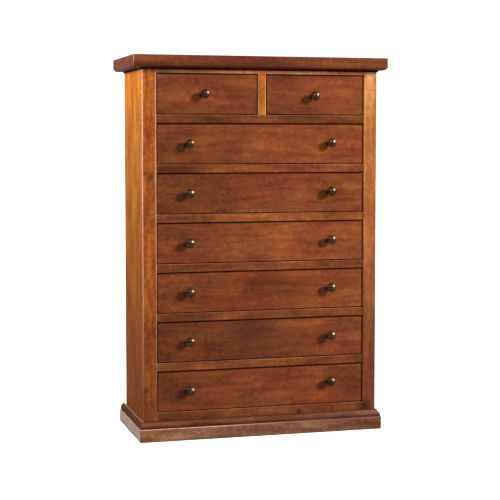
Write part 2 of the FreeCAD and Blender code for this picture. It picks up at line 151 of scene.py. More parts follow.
class ShaderTree:
    """A node tree being wired: adds nodes, sets their inputs and links them."""

    mix_factor, mix_under, mix_over, mix_result = 0, 6, 7, 2

    def __init__(self, tree: bpy.types.NodeTree) -> None:
        """Start from an empty tree.

        Args:
            tree: The material's tree or the node group to fill.
        """
        self.tree = tree
        self.tree.nodes.clear()

    def add(self, kind: str, settings: dict | None = None, **inputs: object) -> bpy.types.Node:
        """Add a node.

        Args:
            kind: The node's type name.
            settings: Properties of the node itself, such as its operation.
            inputs: Values or sockets for its inputs, by name with spaces as underscores.

        Returns:
            The new node.
        """
        node = self.tree.nodes.new(kind)
        for name, value in (settings or {}).items():
            setattr(node, name, value)
        for name, value in inputs.items():
            self.feed(node.inputs[name.replace("_", " ")], value)
        return node

    def feed(self, socket: Socket, value: object) -> None:
        """Link a socket into an input, or set the input's own value.

        Args:
            socket: The input.
            value: The socket or the plain value that goes in.
        """
        if isinstance(value, Socket):
            self.tree.links.new(value, socket)
        else:
            socket.default_value = value

    def two(self, kind: str, operation: str, first: object, second: object) -> bpy.types.Node:
        """Add a math or vector math node with two inputs.

        Args:
            kind: The node's type name.
            operation: What it works out.
            first: Its first input.
            second: Its second input.

        Returns:
            The new node.
        """
        node = self.add(kind, {"operation": operation})
        self.feed(node.inputs[0], first)
        self.feed(node.inputs[1], second)
        return node

    def math(self, operation: str, first: object, second: object = 0.0) -> Socket:
        """Add a sum on numbers and return its result."""
        return self.two("ShaderNodeMath", operation, first, second).outputs["Value"]

    def place(self) -> Socket:
        """Add the coordinates on the object and return them."""
        return self.add("ShaderNodeTexCoord").outputs["Object"]

    def along(self, place: Socket, axis: Axis) -> Socket:
        """Take one coordinate out and return it."""
        return self.add("ShaderNodeSeparateXYZ", Vector=place).outputs[axis.value]

    def noise(self, vector: object, scale: float, detail: float, rough: float, output: str = "Fac") -> Socket:
        """Add a noise pattern and return its value between 0 and 1, or its colour."""
        node = self.add("ShaderNodeTexNoise", Vector=vector, Scale=scale, Detail=detail, Roughness=rough)
        return node.outputs[output]

    def scaled(self, vector: object, scale: Place) -> Socket:
        """Stretch coordinates and return them."""
        return self.add("ShaderNodeMapping", Vector=vector, Scale=scale).outputs["Vector"]

    def span(self, value: object, low: float, high: float, to_low: object = 0.0,
             to_high: object = 1.0) -> Socket:
        """Map a range of a value onto another range, clamped and smooth."""
        node = self.add("ShaderNodeMapRange", {"interpolation_type": "SMOOTHSTEP"}, Value=value,
                        From_Min=low, From_Max=high, To_Min=to_low, To_Max=to_high)
        return node.outputs["Result"]

    def mix(self, factor: object, under: object, over: object, blend: Blend = Blend.COVER) -> Socket:
        """Lay one colour over another.

        Args:
            factor: How much of it is laid.
            under: The colour below.
            over: The colour on top.
            blend: The way it is laid.

        Returns:
            The result.
        """
        node = self.add("ShaderNodeMix", {"data_type": "RGBA", "blend_type": blend.value})
        self.feed(node.inputs[self.mix_factor], factor)
        self.feed(node.inputs[self.mix_under], under)
        self.feed(node.inputs[self.mix_over], over)
        return node.outputs[self.mix_result]

    def finish(self, shader: Socket, kind: str = "Material") -> None:
        """Put a shader out as the surface of the material or the world."""
        self.add(f"ShaderNodeOutput{kind}", Surface=shader)


def opaque(colour: Colour) -> tuple[float, float, float, float]:
    """Add full alpha to a colour."""
    return (*colour, 1.0)


def new_material(name: str) -> tuple[bpy.types.Material, ShaderTree]:
    """Start a material.

    Args:
        name: The material's name.

    Returns:
        The material and its empty tree.
    """
    made = bpy.data.materials.new(name)
    made.use_nodes = True
    return made, ShaderTree(made.node_tree)


@dataclass(frozen=True)
class Pattern:
    """A noise in the wood, stretched along the grain, and the range of its values that shows."""

    per_metre: float
    along: float
    low: float = 0.0
    high: float = 1.0
    across: float = 1.0
    detail: float = 3.0
    rough: float = 0.5

    def lay(self, shader: ShaderTree, place: Socket, output: str = "Fac") -> Socket:
        """Lay the noise over coordinates and return its value or its colour."""
        stretched = shader.scaled(place, (self.along, self.across, self.across))
        return shader.noise(stretched, self.per_metre, self.detail, self.rough, output)

    def show(self, shader: ShaderTree, value: Socket, to_low: object, to_high: object) -> Socket:
        """Map the range of its value that shows onto another range."""
        return shader.span(value, self.low, self.high, to_low, to_high)

    def swing(self, shader: ShaderTree, value: Socket, weight: float) -> Socket:
        """Map the range of its value that shows onto a weight below and above zero."""
        return self.show(shader, value, -weight, weight)


@dataclass(frozen=True)
class WoodFigure:
    """The shared node group that draws the figure of a board along its local X axis."""

    name: str = "wood_figure"
    inputs: tuple[tuple[str, str], ...] = (
        ("Vector", "Vector"), ("Dark", "Color"), ("Middle", "Color"), ("Pale", "Color"), ("Mottle", "Float"),
        ("Streak", "Float"), ("Blush", "Float"), ("Base Roughness", "Float"))
    outputs: tuple[tuple[str, str], ...] = (("Color", "Color"), ("Roughness", "Float"), ("Height", "Float"))
    drift: Pattern = Pattern(4.0, 0.5, detail=2.0)
    lean: float = 0.10
    mottle: Pattern = Pattern(15.0, 0.42, 0.22, 0.78, rough=0.45)
    mottle_weight: float = 0.5
    curl: Pattern = Pattern(85.0, 0.7, 0.3, 0.7, across=0.8, detail=4.0, rough=0.6)
    curl_weight: float = 0.32
    streak: Pattern = Pattern(55.0, 0.06, 0.3, 0.7, detail=4.0, rough=0.6)
    streak_weight: float = 0.5
    ring_per_metre: float = 9.0
    ring_along: float = 0.5
    ring_weight: float = 0.15
    blush: Pattern = Pattern(8.0, 0.45, 0.42, 0.66)
    blush_tint: Colour = (1.0, 0.78, 0.92)
    fleck: Pattern = Pattern(46.0, 0.6, 0.45, 0.66, rough=0.6)
    fleck_tint: Colour = (1.02, 1.19, 0.88)
    pore: Pattern = Pattern(420.0, 0.03, 0.54, 0.70, detail=2.0)
    pore_depth: float = 0.22
    pore_tint: Colour = (0.35, 0.3, 0.3)
    rough_swing: float = 0.12
    streak_height: float = 0.4

    def group(self) -> bpy.types.NodeTree:
        """Build the group once.

        Returns:
            The node group, with the sockets that the fields inputs and outputs name.
        """
        found = bpy.data.node_groups.get(self.name)
        if found:
            return found
        tree = bpy.data.node_groups.new(self.name, "ShaderNodeTree")
        for direction, sockets in (("INPUT", self.inputs), ("OUTPUT", self.outputs)):
            for label, kind in sockets:
                tree.interface.new_socket(label, in_out=direction, socket_type=f"NodeSocket{kind}")
        shader = ShaderTree(tree)
        given = shader.add("NodeGroupInput").outputs
        fibre = self.bent(shader, given["Vector"])
        streak = self.streak.lay(shader, fibre)
        pores = self.pore.show(shader, self.pore.lay(shader, fibre), 0.0, self.pore_depth)
        tone = self.tone(shader, given, fibre, streak)
        swing = shader.math("MULTIPLY", shader.math("SUBTRACT", streak, 0.5), self.rough_swing)
        shader.add("NodeGroupOutput", Color=self.stain(shader, given, tone, pores),
                   Roughness=shader.math("ADD", given["Base Roughness"], swing),
                   Height=shader.math("SUBTRACT", shader.math("MULTIPLY", streak, self.streak_height), pores))
        return tree

    def bent(self, shader: ShaderTree, place: Socket) -> Socket:
        """Bend coordinates slowly, so that the fibres wander.

        Args:
            shader: The tree to add its nodes to.
            place: Coordinates along the board.

        Returns:
            The coordinates along its fibres.
        """
        lean = shader.add("ShaderNodeVectorMath", {"operation": "SCALE"}, Scale=self.lean)
        shader.feed(lean.inputs[0], self.drift.lay(shader, place, "Color"))
        return shader.two("ShaderNodeVectorMath", "ADD", place, lean.outputs["Vector"]).outputs["Vector"]

    def tone(self, shader: ShaderTree, given: bpy.types.NodeOutputs, fibre: Socket, streak: Socket) -> Socket:
        """Add up the clouds, the ripple, the streaks and the year rings.

        Args:
            shader: The tree to add its nodes to.
            given: The group's inputs.
            fibre: Coordinates along the fibres.
            streak: The value of the streaks.

        Returns:
            The tone of the wood, from 0 where it is dark to 1 where it is pale.
        """
        clouds = self.mottle.swing(shader, self.mottle.lay(shader, fibre), self.mottle_weight)
        ripple = self.curl.swing(shader, self.curl.lay(shader, given["Vector"]), self.curl_weight)
        fine = self.streak.swing(shader, streak, self.streak_weight)
        ring = shader.add("ShaderNodeTexWave",
                          {"wave_type": "BANDS", "bands_direction": "Z", "wave_profile": "SAW"},
                          Vector=shader.scaled(fibre, (self.ring_along, 1.0, 1.0)), Scale=self.ring_per_metre,
                          Distortion=7.0, Detail=2.0, Detail_Scale=0.7, Detail_Roughness=0.5)
        rings = shader.span(ring.outputs["Fac"], 0.0, 1.0, self.ring_weight, -self.ring_weight)
        tone = 0.5
        for part, amount in ((clouds, "Mottle"), (ripple, "Mottle"), (fine, "Streak"), (rings, "Mottle")):
            tone = shader.math("ADD", shader.math("MULTIPLY", part, given[amount]), tone)
        return tone

    def stain(self, shader: ShaderTree, given: bpy.types.NodeOutputs, tone: Socket, pores: Socket) -> Socket:
        """Colour the tone, with a redder blush, olive flecks and dark pores.

        Args:
            shader: The tree to add its nodes to.
            given: The group's inputs.
            tone: The tone of the wood.
            pores: The mask of the open pores.

        Returns:
            The colour.
        """
        lower = shader.mix(shader.span(tone, 0.0, 0.5), given["Dark"], given["Middle"])
        colour = shader.mix(shader.span(tone, 0.5, 1.0), lower, given["Pale"])
        for pattern, tint in ((self.blush, self.blush_tint), (self.fleck, self.fleck_tint)):
            mask = pattern.show(shader, pattern.lay(shader, given["Vector"]), 0.0, given["Blush"])
            colour = shader.mix(mask, colour, opaque(tint), Blend.MULTIPLY)
        return shader.mix(pores, colour, opaque(self.pore_tint), Blend.MULTIPLY)


@dataclass(frozen=True)
class Mark:
    """Something that changes a board's colour somewhere: a mask, a colour and the way it is laid."""

    def mask(self, shader: ShaderTree, place: Socket) -> Socket:
        """Make the mask of the mark, which each kind of mark has of its own."""
        raise NotImplementedError

    def over(self, shader: ShaderTree, place: Socket, under: Socket) -> Socket:
        """Lay the mark over a colour, and return the result."""
        return shader.mix(self.mask(shader, place), under, opaque(self.colour), self.blend)


@dataclass(frozen=True)
class KnotOrShade(Mark):
    """A round dark place in a board: a knot or plug in the wood, and, round the foot of a knob, a painted
    shadow.
    """

    place: Place
    radius: float
    depth: float = 0.8
    colour: Colour = (0.022, 0.008, 0.004)
    blend: Blend = Blend.COVER

    def mask(self, shader: ShaderTree, place: Socket) -> Socket:
        """Make the mask: the depth in the middle, nothing at the radius."""
        away = shader.two("ShaderNodeVectorMath", "DISTANCE", place, self.place).outputs["Value"]
        return shader.span(away, self.radius, 0.0, 0.0, self.depth)


@dataclass(frozen=True)
class Fade(Mark):
    """A change of tone along one axis of the object, from none at the start to a share at the end."""

    axis: Axis
    start: float
    end: float
    share: float | Colour
    blend: Blend = Blend.MULTIPLY

    @property
    def colour(self) -> Colour:
        """The share of each part of the colour at the end."""
        return self.share if isinstance(self.share, tuple) else (self.share,) * 3

    def mask(self, shader: ShaderTree, place: Socket) -> Socket:
        """Make the mask: nothing at the start, all at the end."""
        ends = (0.0, 1.0) if self.start < self.end else (1.0, 0.0)
        return shader.span(shader.along(place, self.axis), *sorted((self.start, self.end)), *ends)


@dataclass(frozen=True)
class PaintedLine(Mark):
    """A painted line along an arris, across one axis of the object: a painted highlight where it is pale and
    painted shade where it is dark.
    """

    axis: Axis
    place: float
    width: float
    depth: float = 0.8
    # The pale colour of a painted highlight
    colour: Colour = (0.62, 0.34, 0.24)
    blend: Blend = Blend.COVER
    inner: float = 0.35
    outer: float = 0.65

    def mask(self, shader: ShaderTree, place: Socket) -> Socket:
        """Make the mask: the depth on the line, nothing beside it."""
        away = shader.math("ABSOLUTE", shader.math("SUBTRACT", shader.along(place, self.axis), self.place))
        return shader.span(away, self.inner * self.width, self.outer * self.width, self.depth, 0.0)


@dataclass(frozen=True)
class Ends:
    """The brightness of a long board at its left end and towards its right one: its own tone at the left, and
    painted light that makes it brighter towards the right.
    """

    left: float
    right: float

    def along(self, low_x: float, high_x: float, share: float) -> Fade:
        """Change from one to the other, over a share of the board's length."""
        return Fade(Axis.X, low_x, part_way(low_x, high_x, share), self.right / self.left)


@dataclass(frozen=True)
class GapShade:
    """Painted shade in the gap round a drawer front and along a rail: dark behind the rounded edges, and less
    so further in.
    """

    first_share: float = 0.3
    tone: float = 0.06
    depth: float = 5.0 * MM
    inner_depth: float = 8.0 * MM
    inner_tone: float = 0.55

    def marks(self, front_y: float, radius: float) -> tuple[Fade, Fade]:
        """Make its two fades.

        Args:
            front_y: The depth of the board's face.
            radius: The radius of its front edges.

        Returns:
            The darkening and the lighter part behind it.
        """
        return (Fade(Axis.Y, front_y + self.first_share * radius, front_y + radius, self.tone),
                Fade(Axis.Y, front_y + self.depth, front_y + self.inner_depth, self.inner_tone / self.tone))


@dataclass(frozen=True)
class WoodFinish:
    """A wood with its stain and varnish, and what sets one board of it apart."""

    dark: Colour
    middle: Colour
    pale: Colour
    slot: str = "stained_wood"
    mottle: float = 0.7
    streak: float = 0.42
    blush: float = 0.8
    roughness: float = 0.42
    varnish: float = 0.08
    varnish_roughness: float = 0.22
    shine: float = 0.2
    refraction: float = 1.46
    relief: float = 0.35
    relief_depth: float = 0.12 * MM
    cut_step: Place = (1.7, 0.61, 0.37)
    tone: float = 1.0
    marks: tuple[Mark, ...] = ()

    def material(self, name: str, grain: Grain, cut: int) -> bpy.types.Material:
        """Make the material of one board.

        Args:
            name: The board's name.
            grain: The way its fibres run.
            cut: Which part of the tree the board comes from; each cut has its own figure.

        Returns:
            The material.
        """
        made, shader = new_material(f"{self.slot}_{name}")
        place = shader.place()
        laid = shader.add("ShaderNodeMapping", Vector=place, Rotation=grain.value,
                          Location=tuple(step * cut for step in self.cut_step))
        figure = shader.add("ShaderNodeGroup", {"node_tree": WoodFigure().group()},
                            Vector=laid.outputs["Vector"], Dark=self.toned(self.dark),
                            Middle=self.toned(self.middle), Pale=self.toned(self.pale), Mottle=self.mottle,
                            Streak=self.streak, Blush=self.blush, Base_Roughness=self.roughness)
        colour = figure.outputs["Color"]
        for mark in self.marks:
            colour = mark.over(shader, place, colour)
        bump = shader.add("ShaderNodeBump", Strength=self.relief, Distance=self.relief_depth,
                          Height=figure.outputs["Height"])
        varnish = shader.add("ShaderNodeBsdfPrincipled", Base_Color=colour,
                             Roughness=figure.outputs["Roughness"], Normal=bump.outputs["Normal"],
                             Coat_Weight=self.varnish, Coat_Roughness=self.varnish_roughness,
                             Specular_IOR_Level=self.shine, IOR=self.refraction)
        shader.finish(varnish.outputs["BSDF"])
        return made

    def toned(self, colour: Colour) -> tuple[float, float, float, float]:
        """Make a colour as bright as the board is."""
        return opaque(tuple(min(part * self.tone, 1.0) for part in colour))


@dataclass(frozen=True)
class MetalFinish:
    """A turned metal with a darker patina in patches."""

    slot: str
    patina: Colour
    rubbed: Colour
    roughness: float
    metallic: float = 1.0
    patch: Pattern = Pattern(90.0, 1.0, 0.35, 0.7)
    patch_polish: float = -0.08
    pitting: Pattern = Pattern(900.0, 1.0, detail=2.0)
    relief: float = 0.1
    relief_depth: float = 0.03 * MM

    def material(self, name: str) -> bpy.types.Material:
        """Make the material of one metal piece.

        Args:
            name: The piece's name.

        Returns:
            The material.
        """
        made, shader = new_material(f"{self.slot}_{name}")
        place = shader.place()
        patches = self.patch.show(shader, self.patch.lay(shader, place), 0.0, 1.0)
        rough = shader.math("ADD", shader.math("MULTIPLY", patches, self.patch_polish), self.roughness)
        bump = shader.add("ShaderNodeBump", Strength=self.relief, Distance=self.relief_depth,
                          Height=self.pitting.lay(shader, place))
        metal = shader.add("ShaderNodeBsdfPrincipled", Roughness=rough, Metallic=self.metallic,
                           Base_Color=shader.mix(patches, opaque(self.patina), opaque(self.rubbed)),
                           Normal=bump.outputs["Normal"])
        shader.finish(metal.outputs["BSDF"])
        return made


# Stains and woods, each with its dark, middle and pale colour, and metals. The arris finishes are painted
# highlights, the strip's is painted shade, and the plinth's carry painted sheen and reflection.

DRAWER_STAIN = WoodFinish((0.118, 0.026, 0.0085), (0.188, 0.0425, 0.0088), (0.262, 0.068, 0.0110))
FRAME_STAIN = WoodFinish((0.205, 0.043, 0.007), (0.310, 0.076, 0.009), (0.430, 0.125, 0.012), mottle=1.0,
                         streak=0.6)
# The right post's stain is paler than the frame's, partly painted sheen of the key light
RIGHT_POST_STAIN_AND_SHEEN = WoodFinish((0.500, 0.190, 0.058), (0.650, 0.272, 0.086), (0.790, 0.370, 0.130), mottle=1.0,
                              streak=0.6)
DIVIDER_STAIN = WoodFinish((0.290, 0.080, 0.008), (0.430, 0.125, 0.010), (0.54, 0.18, 0.015))
# The top rail is paler than the other rails: partly its stain, partly painted light where the top board casts
# its shadow
TOP_RAIL_STAIN_AND_LIGHT = WoodFinish((0.330, 0.105, 0.032), (0.470, 0.170, 0.052), (0.620, 0.250, 0.080))
RAIL_STAIN = WoodFinish((0.120, 0.028, 0.009), (0.195, 0.050, 0.010), (0.300, 0.090, 0.013))
SIDE_STAIN = WoodFinish((0.320, 0.094, 0.014), (0.430, 0.148, 0.018), (0.540, 0.218, 0.025), mottle=0.75,
                        streak=0.8, blush=0.5, varnish=0.0, shine=0.01)
TOP_STAIN = WoodFinish((0.095, 0.021, 0.006), (0.136, 0.032, 0.007), (0.200, 0.054, 0.010))
# The strip under the top is painted nearly black, as painted shade under the top board's overhang
STRIP_PAINTED_SHADE = WoodFinish((0.020, 0.006, 0.002), (0.030, 0.009, 0.003), (0.045, 0.014, 0.005), varnish=0.0,
                         shine=0.01)
# The plinth's greyish pink is partly its stain and partly painted sheen of the floor; the left board's pale
# colour is a painted reflection of the floor
PLINTH_STAIN_AND_SHEEN = WoodFinish((0.130, 0.050, 0.027), (0.190, 0.082, 0.044), (0.265, 0.128, 0.068), mottle=0.9,
                          blush=0.3)
LEFT_PLINTH_PAINTED_REFLECTION = WoodFinish((0.31, 0.205, 0.187), (0.45, 0.325, 0.31), (0.565, 0.44, 0.42), blush=0.3)
MOULDING_STAIN = WoodFinish((0.105, 0.034, 0.016), (0.165, 0.057, 0.026), (0.23, 0.090, 0.042), varnish=0.0,
                            shine=0.08)
# Painted highlight on the upper arris of each rail
RAIL_ARRIS_HIGHLIGHT = WoodFinish((0.22, 0.082, 0.044), (0.31, 0.128, 0.072), (0.40, 0.18, 0.105), varnish=0.0,
                              shine=0.02, tone=0.75)
# Painted highlight on the rounded arrises of the posts, the divider, the top's front corners and the plinth
ARRIS_HIGHLIGHT = WoodFinish((0.48, 0.23, 0.15), (0.66, 0.37, 0.26), (0.82, 0.52, 0.38), mottle=0.4, streak=0.2,
                         varnish=0.0, shine=0.03)
INNER_WOOD = WoodFinish((0.42, 0.27, 0.14), (0.58, 0.41, 0.23), (0.70, 0.53, 0.33), "inner_wood", mottle=0.4,
                        streak=0.6, blush=0.1, roughness=0.62, varnish=0.0)
DRAWER_WOOD = WoodFinish((0.50, 0.33, 0.18), (0.64, 0.46, 0.28), (0.76, 0.60, 0.40), "drawer_wood",
                         mottle=0.4, streak=0.6, blush=0.1, roughness=0.5, varnish=0.1)
THIN_WOOD = WoodFinish((0.40, 0.24, 0.12), (0.52, 0.34, 0.18), (0.62, 0.44, 0.26), "thin_panel", mottle=0.3,
                       streak=0.7, blush=0.08, roughness=0.58, varnish=0.05)
KNOB_METAL = MetalFinish("dark_bronze", (0.062, 0.036, 0.021), (0.125, 0.082, 0.050), 0.40)
SCREW_METAL = MetalFinish("screw_steel", (0.34, 0.33, 0.31), (0.55, 0.54, 0.52), 0.38)


# Single boards: the brightness, the knots and the fades that set them apart, with places in metres; the fades
# are painted light and shade.
# The rails and the drawer fronts share one face, a little behind the face of the posts.

POST_FACE_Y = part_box("post_left")[0].y
FRONT_FACE_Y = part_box("bottom_rail")[0].y
LEFT_POST_LOW_X, LEFT_POST_HIGH_X = (corner.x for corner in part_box("post_left"))
FOOT_KNOT_X, FOOT_KNOT_Z, FOOT_KNOT_RADIUS = 0.403, 0.090, 42.0 * MM
# Heights between which the painted shade on the posts and the sides deepens
UPPER_Z, SHOULDER_Z = 1.34, 1.15
LEFT_SHADE_Z, FOOT_Z = 1.10, 0.10

# On the posts the fades along Z are painted shade, deeper towards the floor, and the right post's top fade
# keeps a painted sheen
POST_STAINS = {
    Side.LEFT: replace(FRAME_STAIN, tone=1.03, marks=(
        KnotOrShade((-0.437, POST_FACE_Y, 0.975), 12.0 * MM, 0.6),
        KnotOrShade((-0.420, POST_FACE_Y, 0.960), 13.0 * MM, 0.75),
        KnotOrShade((-0.437, POST_FACE_Y, 0.186), 15.0 * MM),
        KnotOrShade((-0.425, POST_FACE_Y, 0.965), 30.0 * MM, 0.3),
        Fade(Axis.Z, LEFT_SHADE_Z, FOOT_Z, (0.43, 0.42, 0.46)))),
    Side.RIGHT: replace(RIGHT_POST_STAIN_AND_SHEEN, tone=0.90, marks=(
        KnotOrShade((FOOT_KNOT_X, POST_FACE_Y, FOOT_KNOT_Z), FOOT_KNOT_RADIUS),
        Fade(Axis.Z, UPPER_Z, SHOULDER_Z, (0.74, 0.63, 0.48)),
        Fade(Axis.Z, SHOULDER_Z, 0.12, (0.32, 0.19, 0.24)))),
}
# Painted highlights on the posts' front arrises, with painted shade lower down and, on the left post, towards
# its inner arris
POST_ARRIS_HIGHLIGHTS = {
    Side.LEFT: replace(ARRIS_HIGHLIGHT, tone=1.35, marks=(
        Fade(Axis.Z, LEFT_SHADE_Z, FOOT_Z, (0.32, 0.235, 0.195)),
        Fade(Axis.X, part_way(LEFT_POST_LOW_X, LEFT_POST_HIGH_X, 0.3),
             part_way(LEFT_POST_LOW_X, LEFT_POST_HIGH_X, 0.7), 0.55))),
    Side.RIGHT: replace(FRAME_STAIN, tone=1.5, marks=(Fade(Axis.Z, 1.3, FOOT_Z, 0.35),)),
}
# Painted shade on the sides of the case, deeper towards the floor
FLANK_SHADE_FADES = (Fade(Axis.Z, UPPER_Z, SHOULDER_Z, (0.76, 0.72, 0.95)),
               Fade(Axis.Z, SHOULDER_Z, 0.15, (0.54, 0.38, 0.24)))
FLANK_STAINS = {
    Side.LEFT: replace(SIDE_STAIN, tone=1.12, marks=FLANK_SHADE_FADES),
    Side.RIGHT: replace(FRAME_STAIN, mottle=0.55, blush=0.5, tone=0.85, marks=FLANK_SHADE_FADES),
}
# The rise in brightness towards the right of each rail and drawer front is painted light
RAIL_ENDS = {
    "top_rail": Ends(0.92, 1.50), "rail_1": Ends(0.52, 0.62), "rail_2": Ends(0.36, 1.12),
    "rail_3": Ends(0.74, 1.15), "rail_4": Ends(0.60, 0.85), "rail_5": Ends(0.62, 0.80),
    "rail_6": Ends(0.76, 0.78), "bottom_rail": Ends(0.54, 0.78),
}
RAIL_KNOTS = {
    "bottom_rail": (KnotOrShade((0.144, FRONT_FACE_Y, 0.079), 19.0 * MM, 1.0),
                    KnotOrShade((FOOT_KNOT_X, FRONT_FACE_Y, FOOT_KNOT_Z), FOOT_KNOT_RADIUS)),
}
DRAWER_ENDS = {
    "drawer_top_left": Ends(0.90, 0.92), "drawer_top_right": Ends(0.84, 1.12), "drawer_2": Ends(0.70, 1.10),
    "drawer_3": Ends(0.58, 1.00), "drawer_4": Ends(0.80, 1.14), "drawer_5": Ends(0.72, 0.92),
    "drawer_6": Ends(0.55, 0.94), "drawer_7": Ends(0.66, 0.92),
}
# Darker patches on some of the lower drawer fronts
DRAWER_DARK_PATCHES = {
    "drawer_5": (KnotOrShade((0.03, FRONT_FACE_Y, 0.545), 0.16, 0.25),),
    "drawer_6": (KnotOrShade((-0.02, FRONT_FACE_Y, 0.360), 0.24, 0.52),),
    "drawer_7": (KnotOrShade((0.35, FRONT_FACE_Y, 0.180), 0.15, 0.48),
                 KnotOrShade((-0.36, FRONT_FACE_Y, 0.20), 0.10, 0.15)),
}


# Modelling


def clear_selection() -> None:
    """Leave edit mode and deselect everything."""
    if bpy.context.object and bpy.context.object.mode != "OBJECT":
        bpy.ops.object.mode_set(mode="OBJECT")
    bpy.ops.object.select_all(action="DESELECT")


def take_up(piece: bpy.types.Object) -> None:
    """Make a piece the only one selected and the active one.

    Args:
        piece: The piece.
    """
    clear_selection()
    piece.select_set(True)
    bpy.context.view_layer.objects.active = piece


def name_piece(piece: bpy.types.Object, name: str) -> bpy.types.Object:
    """Name a piece and its mesh.

    Args:
        piece: The piece.
        name: Its name.

    Returns:
        The same piece.
    """
    piece.name = name
    piece.data.name = name
    return piece


def start_block(name: str, low: Vector, high: Vector, slots: int = 1) -> bpy.types.Object:
    """Add a cube between two corners, as the blank of a board.

    Args:
        name: The piece's name.
        low: Its lowest corner.
        high: Its highest corner.
        slots: How many materials it will have.

    Returns:
        The blank.
    """
    clear_selection()
    bpy.ops.mesh.primitive_cube_add(size=1.0, location=(low + high) / 2, scale=high - low)
    blank = name_piece(bpy.context.object, name)
    bpy.ops.object.transform_apply(location=True, rotation=True, scale=True)
    dress(blank, *[None] * slots)
    return blank


def edit(piece: bpy.types.Object, kind: str) -> bmesh.types.BMesh:
    """Open a piece in edit mode with nothing selected.

    Args:
        piece: The piece.
        kind: What is to be selected: EDGE or FACE.

    Returns:
        The mesh as it is edited.
    """
    take_up(piece)
    bpy.ops.object.mode_set(mode="EDIT")
    bpy.ops.mesh.select_mode(type=kind)
    bpy.ops.mesh.select_all(action="DESELECT")
    return bmesh.from_edit_mesh(piece.data)


def select_edges(piece: bpy.types.Object, wanted: Callable[[Vector, Vector], bool]) -> None:
    """Select some edges of a piece.

    Args:
        piece: The piece.
        wanted: The test that the two ends of an edge have to pass.
    """
    shape = edit(piece, "EDGE")
    for edge in shape.edges:
        if wanted(edge.verts[0].co, edge.verts[1].co):
            edge.select_set(True)
    bmesh.update_edit_mesh(piece.data)


def select_faces(piece: bpy.types.Object, wanted: Callable[[Vector, Vector], bool]) -> None:
    """Select some faces of a piece.

    Args:
        piece: The piece.
        wanted: The test that the middle and the normal of a face have to pass.
    """
    shape = edit(piece, "FACE")
    for face in shape.faces:
        if wanted(face.calc_center_median(), face.normal):
            face.select_set(True)
    bmesh.update_edit_mesh(piece.data)


def near(first: float, second: float) -> bool:
    """Whether two lengths are the same place."""
    return abs(first - second) < TOUCH


def at(**levels: float) -> Callable[[Vector, Vector], bool]:
    """Test for the edges that lie at given levels, such as y=-0.2 and z=1.4."""
    return lambda start, end: all(near(getattr(tip, axis), level) for tip in (start, end)
                                  for axis, level in levels.items())


def upright_at(y: float) -> Callable[[Vector, Vector], bool]:
    """Test for the upright edges at one depth."""
    return lambda start, end: at(y=y)(start, end) and near(start.x, end.x)


@dataclass(frozen=True)
class Round:
    """The rounding of an edge: its radius and its number of facets."""

    radius: float
    facets: int

    def cut(self, part: Part = Part.SAME) -> None:
        """Round the selected edges; the new faces take a material slot."""
        bpy.ops.mesh.bevel(offset=self.radius, offset_type="OFFSET", segments=self.facets, profile=0.5,
                           affect="EDGES", clamp_overlap=True, material=part)


def close(piece: bpy.types.Object, angle: float = 40.0, flat_weight: int = 50) -> None:
    """Finish the modelling of a piece: smooth its rounds and keep its flats flat.

    Args:
        piece: The piece.
        angle: The angle in degrees up to which an edge is smoothed.
        flat_weight: How much more the large faces count in the shading.
    """
    take_up(piece)
    bpy.ops.object.shade_smooth_by_angle(angle=math.radians(angle))
    bpy.ops.object.modifier_add(type="WEIGHTED_NORMAL")
    modifier = piece.modifiers[-1]
    modifier.keep_sharp = True
    modifier.weight = flat_weight
    bpy.ops.object.modifier_apply(modifier=modifier.name)


def dress(piece: bpy.types.Object, *materials: bpy.types.Material | None) -> None:
    """Give a piece its materials.

    Args:
        piece: The piece.
        materials: One for each of its slots, or None for a slot that is filled later.
    """
    while len(piece.data.materials) < len(materials):
        piece.data.materials.append(None)
    for index, material in enumerate(materials):
        piece.data.materials[index] = material


def dress_node(node: str, material: bpy.types.Material) -> None:
    """Give a construction node its material.

    Args:
        node: The node's name.
        material: The material for all of it.
    """
    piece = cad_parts[node]
    dress(piece, *[material] * max(1, len(piece.material_slots)))


def settle(piece: bpy.types.Object, body: str, slot: str, *nodes: str) -> None:
    """Tie a finished piece to its body and hide the construction nodes that it stands for.

    Args:
        piece: The piece.
        body: The body that it rides on.
        slot: The name of its finish; not used.
        nodes: The construction nodes that it stands for.
    """
    clear_selection()
    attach(piece, body)
    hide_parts(*nodes)
    log.info("%s: %d faces, stands for %s", piece.name, len(piece.data.polygons), ", ".join(nodes))


# Sub-assemblies


